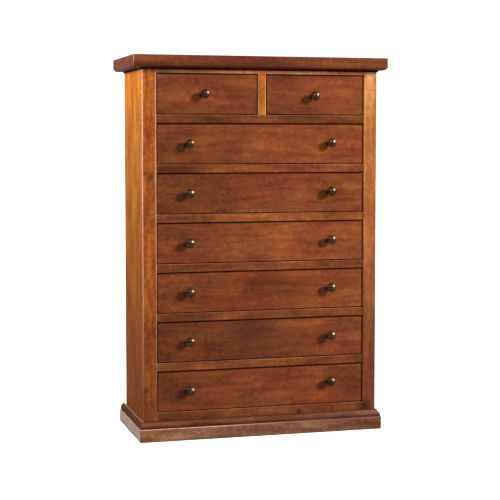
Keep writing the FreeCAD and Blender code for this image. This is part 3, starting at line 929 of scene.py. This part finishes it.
@dataclass
class Casework:
    """Posts, sides, rails and the divider between the small drawers."""

    post_round: Round = Round(3.0 * MM, 5)
    rail_round: Round = Round(2.0 * MM, 4)
    back_round: Round = Round(0.8 * MM, 2)
    rail_share: float = 0.5
    body: str = "case"

    def build(self) -> None:
        """Make and dress all of the casework."""
        for side in FLANKS:
            self.post(side)
            self.side_panel(side)
        for number, (node, ends) in enumerate(RAIL_ENDS.items()):
            self.rail(node, number, ends)
        self.divider()

    def post(self, side: Side) -> None:
        """Make a front post, with both front arrises rounded.

        Args:
            side: The side of the chest that it stands on.
        """
        node = f"post_{side.name.lower()}"
        low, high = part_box(node)
        piece = start_block(f"{node}_wood", low, high, slots=3)
        select_edges(piece, upright_at(low.y))
        self.post_round.cut(Part.ARRIS)
        select_faces(piece, lambda middle, normal: normal.x * side.value > FACING)
        piece.active_material_index = Part.FLANK
        bpy.ops.object.material_slot_assign()
        close(piece)
        cut = Cut.POST + side.value
        dress(piece, POST_STAINS[side].material(node, Grain.UPRIGHT, cut),
              POST_ARRIS_HIGHLIGHTS[side].material(f"{node}_arris", Grain.UPRIGHT, cut),
              self.flank(side, f"{node}_flank"))
        settle(piece, self.body, "stained_wood", node)

    def side_panel(self, side: Side) -> None:
        """Make a plain side board, flush with the post in front of it.

        Args:
            side: The side of the chest that it stands on.
        """
        node = f"side_panel_{side.name.lower()}"
        low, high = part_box(node)
        low.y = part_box(f"post_{side.name.lower()}")[1].y
        piece = start_block(f"{node}_wood", low, high)
        select_edges(piece, at(y=high.y))
        self.back_round.cut()
        close(piece)
        dress(piece, self.flank(side, node))
        settle(piece, self.body, "stained_wood", node)

    def flank(self, side: Side, name: str) -> bpy.types.Material:
        """Make the material of a side of the case, which runs on from the post to the side board."""
        return FLANK_STAINS[side].material(name, Grain.UPRIGHT, Cut.FLANK + side.value)

    def rail(self, node: str, number: int, ends: Ends) -> None:
        """Make a rail between the posts, with its two long front arrises rounded.

        Args:
            node: The construction node that it stands for.
            number: Its number from the top.
            ends: Its brightness.
        """
        low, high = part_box(node)
        low.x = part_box("post_left")[1].x
        high.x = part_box("post_right")[0].x
        piece = start_block(f"{node}_wood", low, high, slots=2)
        # Only the upper arris takes the painted highlight
        for z, part in ((high.z, Part.ARRIS), (low.z, Part.FACE)):
            select_edges(piece, at(y=low.y, z=z))
            self.rail_round.cut(part)
        close(piece)
        # Painted shade in the gaps, the rail's own knots, and its change of brightness along its length
        marks = (*RAIL_KNOTS.get(node, ()), *GapShade().marks(low.y, self.rail_round.radius),
                 ends.along(low.x, high.x, self.rail_share))
        stain = replace(TOP_RAIL_STAIN_AND_LIGHT if node == "top_rail" else RAIL_STAIN, tone=ends.left, marks=marks)
        dress(piece, stain.material(node, Grain.ACROSS, Cut.RAIL + number),
              RAIL_ARRIS_HIGHLIGHT.material(f"{node}_arris", Grain.ACROSS, Cut.RAIL + number))
        settle(piece, self.body, "stained_wood", node)

    def divider(self) -> None:
        """Make the short upright between the two small drawers."""
        node = "center_divider"
        low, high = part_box(node)
        low.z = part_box("rail_1")[1].z
        high.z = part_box("top_rail")[0].z
        piece = start_block(f"{node}_wood", low, high, slots=2)
        select_edges(piece, upright_at(low.y))
        self.rail_round.cut(Part.ARRIS)
        close(piece)
        dress(piece, DIVIDER_STAIN.material(node, Grain.UPRIGHT, Cut.DIVIDER),
              ARRIS_HIGHLIGHT.material(f"{node}_arris", Grain.UPRIGHT, Cut.DIVIDER))
        settle(piece, self.body, "stained_wood", node)


@dataclass
class Top:
    """Top board with a quarter round below, and the thin strip under it."""

    edge_round: Round = Round(16.0 * MM, 8)
    corner_round: Round = Round(1.6 * MM, 3)
    arris_round: Round = Round(0.6 * MM, 2)
    shadow_share: float = 0.6
    shadow_tone: float = 0.45
    right_light_fade: Fade = Fade(Axis.X, 0.10, 0.35, 1.28)
    body: str = "case"

    def build(self) -> None:
        """Make and dress the board and dress the strip."""
        node = "top_board"
        low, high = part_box(node)
        piece = start_block(f"{node}_wood", low, high, slots=2)
        select_edges(piece, self.shown(low.z, high.y))
        self.edge_round.cut()
        select_edges(piece, upright_at(low.y))
        self.corner_round.cut(Part.ARRIS)
        select_edges(piece, self.shown(high.z, high.y))
        self.arris_round.cut()
        close(piece)
        # A painted shadow on the lower round, and painted light that brightens the board towards the right
        shadow = Fade(Axis.Z, low.z + self.shadow_share * self.edge_round.radius, low.z, self.shadow_tone)
        stain = replace(TOP_STAIN, marks=(shadow, self.right_light_fade))
        dress(piece, stain.material(node, Grain.ACROSS, Cut.TOP),
              ARRIS_HIGHLIGHT.material(f"{node}_arris", Grain.ACROSS, Cut.TOP))
        settle(piece, self.body, "stained_wood", node)
        dress_node("under_top_strip", STRIP_PAINTED_SHADE.material("under_top_strip", Grain.ACROSS, Cut.STRIP))

    @staticmethod
    def shown(z: float, back_y: float) -> Callable[[Vector, Vector], bool]:
        """Test for the edges at one height, apart from the one at the back."""
        return lambda start, end: at(z=z)(start, end) and not at(y=back_y)(start, end)


@dataclass
class Foot:
    """Plinth boards and the mitred moulding on them, all with mitred corners."""

    side_out: float = 14.0 * MM
    front_out: float = 21.0 * MM
    upper_round: Round = Round(2.5 * MM, 4)
    lower_round: Round = Round(4.5 * MM, 4)
    smooth_angle: float = 25.0
    front_tone: float = 0.97
    pale_length: float = 0.13
    pale_end: float = 0.06
    pale_share: Colour = (1.03, 0.87, 0.73)
    right_fade_x: float = 0.18
    right_share: Colour = (0.74, 0.60, 0.58)
    arris_tone: float = 0.68
    arris_fade: Fade = Fade(Axis.X, -0.2, 0.3, (0.50, 0.42, 0.42))
    shoulder_share: float = 0.8
    hollow_share: float = 0.2
    moulding_tone: float = 0.80
    hollow_shade_tone: float = 0.42
    right_painted_sheen: Fade = Fade(Axis.X, -0.1, 0.42, (1.2, 1.4, 2.0))
    joint_width: float = 3.96 * MM
    joint_shade_depth: float = 0.7
    joint_shade_colour: Colour = (0.030, 0.010, 0.006)
    left_moulding_tone: float = 0.62
    left_hollow_shade_tone: float = 0.70
    left_lower_shade_share: Colour = (0.70, 0.45, 0.40)
    left_highlight_depth: float = 0.5
    body: str = "case"

    def build(self) -> None:
        """Make the plinth boards and the moulding."""
        for number, side in enumerate(Side):
            self.plinth_board(side, number)
        for number, side in enumerate(Side):
            self.moulding(side, number)

    def plinth_board(self, side: Side, number: int) -> None:
        """Make a board with its outer arrises rounded above and below, and mitred ends.

        Args:
            side: The side of the chest that it stands on.
            number: Its number.
        """
        node = f"plinth_{side.name.lower()}"
        low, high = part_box(node)
        front_low, front_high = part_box("plinth_front")
        piece = start_block(f"{node}_wood", low, high, slots=2)
        outer = {"y": low.y} if side is Side.FRONT else {"x": high.x if side is Side.RIGHT else low.x}
        select_edges(piece, at(z=high.z, **outer))
        self.upper_round.cut(Part.ARRIS)
        select_edges(piece, at(z=low.z, **outer))
        self.lower_round.cut(Part.FACE)
        for end, corner_x in zip(FLANKS, (front_low.x, front_high.x)):
            if side in (Side.FRONT, end):
                normal = Vector((end.value, 1.0, 0.0))
                self.mitre(piece, Vector((corner_x, front_low.y, 0.0)), normal, side is Side.FRONT)
        close(piece)
        stain = LEFT_PLINTH_PAINTED_REFLECTION if side is Side.LEFT else PLINTH_STAIN_AND_SHEEN
        if side is Side.FRONT:
            stain = replace(stain, tone=self.front_tone, marks=(
                Fade(Axis.X, front_low.x + self.pale_length, front_low.x + self.pale_end, self.pale_share),
                Fade(Axis.X, self.right_fade_x, front_high.x, self.right_share)))
        arris = replace(ARRIS_HIGHLIGHT, tone=1.0 if side is Side.LEFT else self.arris_tone,
                        marks=(self.arris_fade,))
        grain = Grain.ACROSS if side is Side.FRONT else Grain.DEEP
        dress(piece, stain.material(node, grain, Cut.PLINTH + number),
              arris.material(f"{node}_arris", grain, Cut.PLINTH + number))
        settle(piece, self.body, "stained_wood", node)

    def moulding(self, side: Side, number: int) -> None:
        """Raise the profile of one length of the moulding, mitre it and dress it.

        Args:
            side: The side of the chest that it runs along.
            number: Its number.
        """
        low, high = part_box("base_moulding")
        name = f"moulding_{side.name.lower()}"
        corner_x = high.x - self.side_out
        face_y = low.y + self.front_out
        first_z = part_way(low.z, high.z, MOULDING_PROFILE_SHARES[0][1])
        if side is Side.FRONT:
            out, outward = self.front_out, Vector((0.0, -1.0, 0.0))
            piece = start_block(name, low, Vector((high.x, face_y, first_z)))
        else:
            out, outward = self.side_out, Vector((side.value, 0.0, 0.0))
            inner, outer = sorted((side.value * corner_x, side.value * (corner_x + out)))
            piece = start_block(name, Vector((inner, low.y, low.z)), Vector((outer, high.y, first_z)))
        self.raise_profile(piece, outward, out, low.z, high.z)
        for end in FLANKS:
            if side in (Side.FRONT, end):
                normal = Vector((end.value * self.front_out, self.side_out, 0.0))
                self.mitre(piece, Vector((end.value * corner_x, face_y, 0.0)), normal, side is Side.FRONT)
        close(piece, self.smooth_angle)
        grain = Grain.ACROSS if side is Side.FRONT else Grain.DEEP
        dress(piece, self.moulding_stain(side, low.z, high.z).material(name, grain, Cut.MOULDING + number))
        settle(piece, self.body, "stained_wood", "base_moulding")

    def moulding_stain(self, side: Side, low_z: float, high_z: float) -> WoodFinish:
        """Choose the stain of one length of the moulding, with painted shade in its hollow and a painted line
        where it meets the case: painted shade on the front and the right, a painted highlight on the left,
        where the length also darkens downwards as painted shade; the front also gets a painted sheen towards
        the right.

        Args:
            side: The side of the chest that it runs along.
            low_z: The height of its foot.
            high_z: The height of its top.

        Returns:
            The stain.
        """
        shoulder_z = part_way(low_z, high_z, self.shoulder_share)
        # Left length: painted shade in the hollow and lower down, and a painted highlight along the top
        if side is Side.LEFT:
            return replace(MOULDING_STAIN, tone=self.left_moulding_tone, marks=(
                Fade(Axis.Z, shoulder_z, low_z, self.left_hollow_shade_tone),
                Fade(Axis.Z, high_z, low_z, self.left_lower_shade_share),
                PaintedLine(Axis.Z, high_z, self.joint_width, self.left_highlight_depth)))
        # Front and right: painted shade in the hollow and in the joint with the case, and on the front a
        # painted sheen towards the right
        hollow_z = part_way(low_z, high_z, self.hollow_share)
        hollow_shade = Fade(Axis.Z, shoulder_z, hollow_z, self.hollow_shade_tone)
        joint_shade = PaintedLine(Axis.Z, high_z, self.joint_width, self.joint_shade_depth, self.joint_shade_colour)
        along = (self.right_painted_sheen,) if side is Side.FRONT else ()
        return replace(MOULDING_STAIN, tone=self.moulding_tone, marks=(hollow_shade, *along, joint_shade))

    def raise_profile(self, blank: bpy.types.Object, outward: Vector, out: float, low_z: float,
                      high_z: float) -> None:
        """Extrude the top of a blank upwards, step by step, drawing its outer edge in.

        Args:
            blank: The blank, as high as the profile's first point.
            outward: The way the moulding stands out.
            out: How far it stands out.
            low_z: The height of its foot.
            high_z: The height of its top.
        """
        before_out, first_share = MOULDING_PROFILE_SHARES[0]
        before_z = part_way(low_z, high_z, first_share)
        for share_out, share_z in MOULDING_PROFILE_SHARES[1:]:
            select_faces(blank, lambda middle, normal: normal.z > FACING and near(middle.z, before_z))
            step = max(part_way(low_z, high_z, share_z) - before_z, LEAST_STEP)
            bpy.ops.mesh.extrude_region_move(TRANSFORM_OT_translate={"value": (0.0, 0.0, step)})
            before_z += step
            shape = bmesh.from_edit_mesh(blank.data)
            bpy.ops.mesh.select_mode(type="VERT")
            bpy.ops.mesh.select_all(action="DESELECT")
            raised = [vert for vert in shape.verts if near(vert.co.z, before_z)]
            edge = max(vert.co.dot(outward) for vert in raised)
            for vert in raised:
                vert.select_set(abs(vert.co.dot(outward) - edge) < TOUCH)
            shape.select_flush_mode()
            bmesh.update_edit_mesh(blank.data)
            bpy.ops.transform.translate(value=outward * ((share_out - before_out) * out))
            before_out = share_out
        bpy.ops.object.mode_set(mode="OBJECT")

    def mitre(self, blank: bpy.types.Object, corner: Vector, normal: Vector, keep_front: bool) -> None:
        """Cut a blank along the mitre at a corner.

        Args:
            blank: The blank.
            corner: A point on the mitre, at the case's corner.
            normal: The way across the mitre, away from the front length.
            keep_front: Whether the part in front of the mitre is kept.
        """
        take_up(blank)
        bpy.ops.object.mode_set(mode="EDIT")
        bpy.ops.mesh.select_all(action="SELECT")
        bpy.ops.mesh.bisect(plane_co=corner, plane_no=normal.normalized(), use_fill=True,
                            clear_outer=keep_front, clear_inner=not keep_front)
        bpy.ops.object.mode_set(mode="OBJECT")


@dataclass
class KnobPattern:
    """The turned knob, modelled once at the origin and copied for every drawer."""

    radius: float
    reach: float
    ring_sides: int = 48
    smooth_angle: float = 50.0
    knob: bpy.types.Object = field(init=False)

    def build(self) -> None:
        """Turn the pattern as a profile of rings, closed at the back and at the tip."""
        clear_selection()
        before_radius, before_reach = KNOB_PROFILE_SHARES[0]
        bpy.ops.mesh.primitive_circle_add(vertices=self.ring_sides, radius=before_radius * self.radius,
                                          fill_type="NGON", rotation=(math.pi / 2, 0.0, 0.0),
                                          location=(0.0, -before_reach * self.reach, 0.0))
        self.knob = bpy.context.object
        bpy.ops.object.mode_set(mode="EDIT")
        bpy.ops.mesh.select_mode(type="FACE")
        bpy.ops.mesh.select_all(action="SELECT")
        for next_radius, next_reach in KNOB_PROFILE_SHARES[1:]:
            step = (before_reach - next_reach) * self.reach
            bpy.ops.mesh.extrude_region_move(TRANSFORM_OT_translate={"value": (0.0, step, 0.0)})
            grow = next_radius / before_radius
            middle = (0.0, -next_reach * self.reach, 0.0)
            bpy.ops.transform.resize(value=(grow, 1.0, grow), center_override=middle)
            before_radius, before_reach = next_radius, next_reach
        bpy.ops.mesh.select_all(action="SELECT")
        bpy.ops.mesh.normals_make_consistent(inside=False)
        bpy.ops.object.mode_set(mode="OBJECT")
        bpy.ops.object.transform_apply(location=True, rotation=True, scale=True)
        bpy.ops.object.shade_smooth_by_angle(angle=math.radians(self.smooth_angle))
        dress(self.knob, KNOB_METAL.material("knobs"))

    def copy_to(self, name: str, places: list[Vector]) -> bpy.types.Object:
        """Copy the pattern to one or two places and join the copies.

        Args:
            name: The name of the piece.
            places: The middle of each knob's base.

        Returns:
            The knobs of one drawer.
        """
        copies = []
        for place in places:
            take_up(self.knob)
            bpy.ops.object.duplicate(linked=False)
            bpy.ops.transform.translate(value=place)
            bpy.ops.object.transform_apply(location=True, rotation=True, scale=True)
            copies.append(bpy.context.object)
        clear_selection()
        for knob in copies:
            knob.select_set(True)
        bpy.context.view_layer.objects.active = copies[0]
        if len(copies) > 1:
            bpy.ops.object.join()
        return name_piece(bpy.context.object, name)

    def put_away(self) -> None:
        """Delete the pattern once all the copies are made."""
        take_up(self.knob)
        bpy.ops.object.delete()


@dataclass
class Drawer:
    """One drawer: its front and knobs, and the dressing of its box."""

    name: str
    number: int
    ends: Ends
    arris_radius: float = 1.5 * MM
    ends_share: float = 0.7
    gap_shade_width: float = 3.4 * MM
    gap_shade_tone: float = 0.30
    upper_gap_shade_share: float = 0.55
    right_gap_shade_share: float = 0.45
    knob_shadow_offset: Place = (-14.0 * MM, 0.0, -3.5 * MM)
    knob_shadow_radius: float = 15.0 * MM
    knob_shadow_depth: float = 0.9

    def build(self, pattern: KnobPattern) -> None:
        """Make and dress the drawer.

        Args:
            pattern: The knob to copy.
        """
        places = self.knob_places(pattern.radius)
        self.front(places)
        knobs = pattern.copy_to(f"{self.name}_knobs_metal", places)
        settle(knobs, self.name, "dark_bronze", f"{self.name}_knobs")
        for part, wood, grain in (("box", DRAWER_WOOD, Grain.DEEP), ("bottom", THIN_WOOD, Grain.ACROSS)):
            node = f"{self.name}_{part}"
            dress_node(node, wood.material(node, grain, Cut.DRAWER_BOX + self.number))

    def front(self, places: list[Vector]) -> None:
        """Dress the drawer front, with painted shade at the gaps and a painted shadow beside the foot of each
        knob.

        Args:
            places: The middle of each knob's base.
        """
        node = f"{self.name}_front"
        low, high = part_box(node)
        # A painted shadow round the foot of each knob, down and to the left of it
        knob_shadows = tuple(KnotOrShade(tuple(place + Vector(self.knob_shadow_offset)), self.knob_shadow_radius, self.knob_shadow_depth)
                      for place in places)
        # Painted shade along the top and the right edge of the front, which widens the dark gap lines
        upper = Fade(Axis.Z, high.z - self.gap_shade_width, high.z - self.upper_gap_shade_share * self.gap_shade_width,
                     self.gap_shade_tone)
        right = Fade(Axis.X, high.x - self.gap_shade_width, high.x - self.right_gap_shade_share * self.gap_shade_width,
                     self.gap_shade_tone)
        marks = (*DRAWER_DARK_PATCHES.get(self.name, ()), *knob_shadows, *GapShade().marks(low.y, self.arris_radius),
                 self.ends.along(low.x, high.x, self.ends_share), upper, right)
        stain = replace(DRAWER_STAIN, tone=self.ends.left, marks=marks)
        dress_node(node, stain.material(node, Grain.ACROSS, Cut.DRAWER_FRONT + self.number))

    def knob_places(self, radius: float) -> list[Vector]:
        """Find the places of the knobs from the box round them.

        Args:
            radius: The radius of a knob.

        Returns:
            The middle of each knob's base.
        """
        low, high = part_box(f"{self.name}_knobs")
        front_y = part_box(f"{self.name}_front")[0].y
        places = [Vector((low.x + radius, front_y, low.z + radius))]
        if not near(high.x - low.x, 2.0 * radius):
            places.append(Vector((high.x - radius, front_y, high.z - radius)))
        return places


@dataclass
class InnerWork:
    """What lies behind the fronts: dressed as it is in the construction."""

    bare: tuple[str, ...] = ("center_runner", "drawer_runners", "drawer_guides", "drawer_stops",
                             "rear_rails", "plinth_back", "plinth_glue_blocks")

    def build(self) -> None:
        """Dress the runners, guides, stops, rear boards, glue blocks and screws."""
        for number, node in enumerate(self.bare):
            grain = Grain.DEEP if "runner" in node or "guide" in node else Grain.ACROSS
            dress_node(node, INNER_WOOD.material(node, grain, Cut.INNER + number))
        dress_node("back_panel", THIN_WOOD.material("back_panel", Grain.UPRIGHT, Cut.BACK))
        dress_node("wood_screws", SCREW_METAL.material("wood_screws"))


# Stage, light and camera


def stand(name: str, data: bpy.types.ID, place: Place, turn: Euler) -> bpy.types.Object:
    """Put a lamp or a camera on the stage.

    Args:
        name: Its name.
        data: The lamp's or the camera's own values.
        place: Where it stands.
        turn: How it is turned.

    Returns:
        The object.
    """
    made = bpy.data.objects.new(name, data)
    made.location = place
    made.rotation_euler = turn
    bpy.context.scene.collection.objects.link(made)
    return made


@dataclass(frozen=True)
class Lamp:
    """A soft area lamp that looks at a point."""

    name: str
    place: Place
    target: Place
    width: float
    height: float
    power: float
    colour: Colour = WHITE

    def build(self) -> None:
        """Hang the lamp."""
        data = bpy.data.lights.new(self.name, "AREA")
        data.shape = "RECTANGLE"
        data.size, data.size_y = self.width, self.height
        data.energy = self.power
        data.color = self.colour
        way = Vector(self.target) - Vector(self.place)
        stand(self.name, data, self.place, way.to_track_quat("-Z", "Y").to_euler())


@dataclass
class Studio:
    """Pale floor, soft lights and the camera."""

    lens: float = 97.616
    shift_up: float = -0.06
    camera_place: Place = (-1.3906, -4.9724, 1.0959)
    turn: float = math.radians(15.671)
    tilt: float = math.radians(3.388)
    key_from: Place = (0.83, -0.42, 0.39)
    key_power: float = 6.2
    key_softness: float = 0.17
    key_colour: Colour = (1.0, 0.96, 0.90)
    fills: tuple[Lamp, ...] = (
        Lamp("left_fill", place=(-2.15, 0.15, 2.15), target=(-0.45, 0.05, 0.95), width=0.9, height=1.1,
             power=62.0, colour=(1.0, 0.96, 0.88)),
        Lamp("front_fill", place=(-0.6, -3.6, 2.9), target=(0.0, 0.0, 0.9), width=1.8, height=1.2,
             power=26.0))
    floor_size: float = 60.0
    floor_paint: Colour = (0.7, 0.7, 0.7)
    floor_bounce: Colour = (0.42, 0.41, 0.40)
    floor_glow: float = 0.93
    sky_light: float = 0.20
    sky_shown: float = 1.2

    def build(self) -> None:
        """Set up the floor, the backdrop's light, the lamps and the camera."""
        self.floor()
        self.world()
        self.key()
        for lamp in self.fills:
            lamp.build()
        self.camera()

    def floor(self) -> None:
        """Plain pale floor, whiter to the camera than the light alone would make it."""
        clear_selection()
        bpy.ops.mesh.primitive_plane_add(size=self.floor_size, location=(0.0, 0.0, 0.0))
        floor = bpy.context.object
        floor.name = "floor"
        made, shader = new_material("floor_paint")
        seen = shader.add("ShaderNodeLightPath").outputs["Is Camera Ray"]
        paint = shader.add("ShaderNodeBsdfDiffuse",
                           Color=shader.mix(seen, opaque(self.floor_bounce), opaque(self.floor_paint)))
        glow = shader.add("ShaderNodeEmission", Color=opaque(WHITE),
                          Strength=shader.math("MULTIPLY", seen, self.floor_glow))
        both = shader.add("ShaderNodeAddShader")
        shader.feed(both.inputs[0], paint.outputs["BSDF"])
        shader.feed(both.inputs[1], glow.outputs["Emission"])
        shader.finish(both.outputs["Shader"])
        dress(floor, made)

    def world(self) -> None:
        """White backdrop with a softer light than it shows."""
        world = bpy.data.worlds.new("studio")
        bpy.context.scene.world = world
        world.use_nodes = True
        shader = ShaderTree(world.node_tree)
        seen = shader.add("ShaderNodeLightPath").outputs["Is Camera Ray"]
        sky = shader.add("ShaderNodeBackground", Color=opaque(WHITE),
                         Strength=shader.span(seen, 0.0, 1.0, self.sky_light, self.sky_shown))
        shader.finish(sky.outputs["Background"], "World")

    def key(self) -> None:
        """Add the key light, so far to the right that it falls the same way everywhere."""
        data = bpy.data.lights.new("key", "SUN")
        data.energy = self.key_power
        data.angle = self.key_softness
        data.color = self.key_colour
        stand("key", data, (0.0, 0.0, 0.0), Vector(self.key_from).to_track_quat("Z", "Y").to_euler())

    def camera(self) -> None:
        """Place the camera at the photograph's viewpoint."""
        data = bpy.data.cameras.new("camera")
        data.lens = self.lens
        data.shift_y = self.shift_up
        turn = Euler((math.pi / 2 - self.tilt, 0.0, -self.turn))
        bpy.context.scene.camera = stand("camera", data, self.camera_place, turn)


def main() -> None:
    """Build the whole chest and its stage."""
    logging.basicConfig(level=logging.INFO, format="%(name)s: %(message)s")
    bpy.context.scene.view_settings.view_transform = "Standard"
    Studio().build()
    Casework().build()
    Top().build()
    Foot().build()
    low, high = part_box("drawer_top_left_knobs")
    pattern = KnobPattern((high.z - low.z) / 2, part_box("drawer_top_left_front")[0].y - low.y)
    pattern.build()
    for number, (name, ends) in enumerate(DRAWER_ENDS.items()):
        Drawer(name, number, ends).build(pattern)
    pattern.put_away()
    InnerWork().build()


if __name__ == "__main__":
    main()
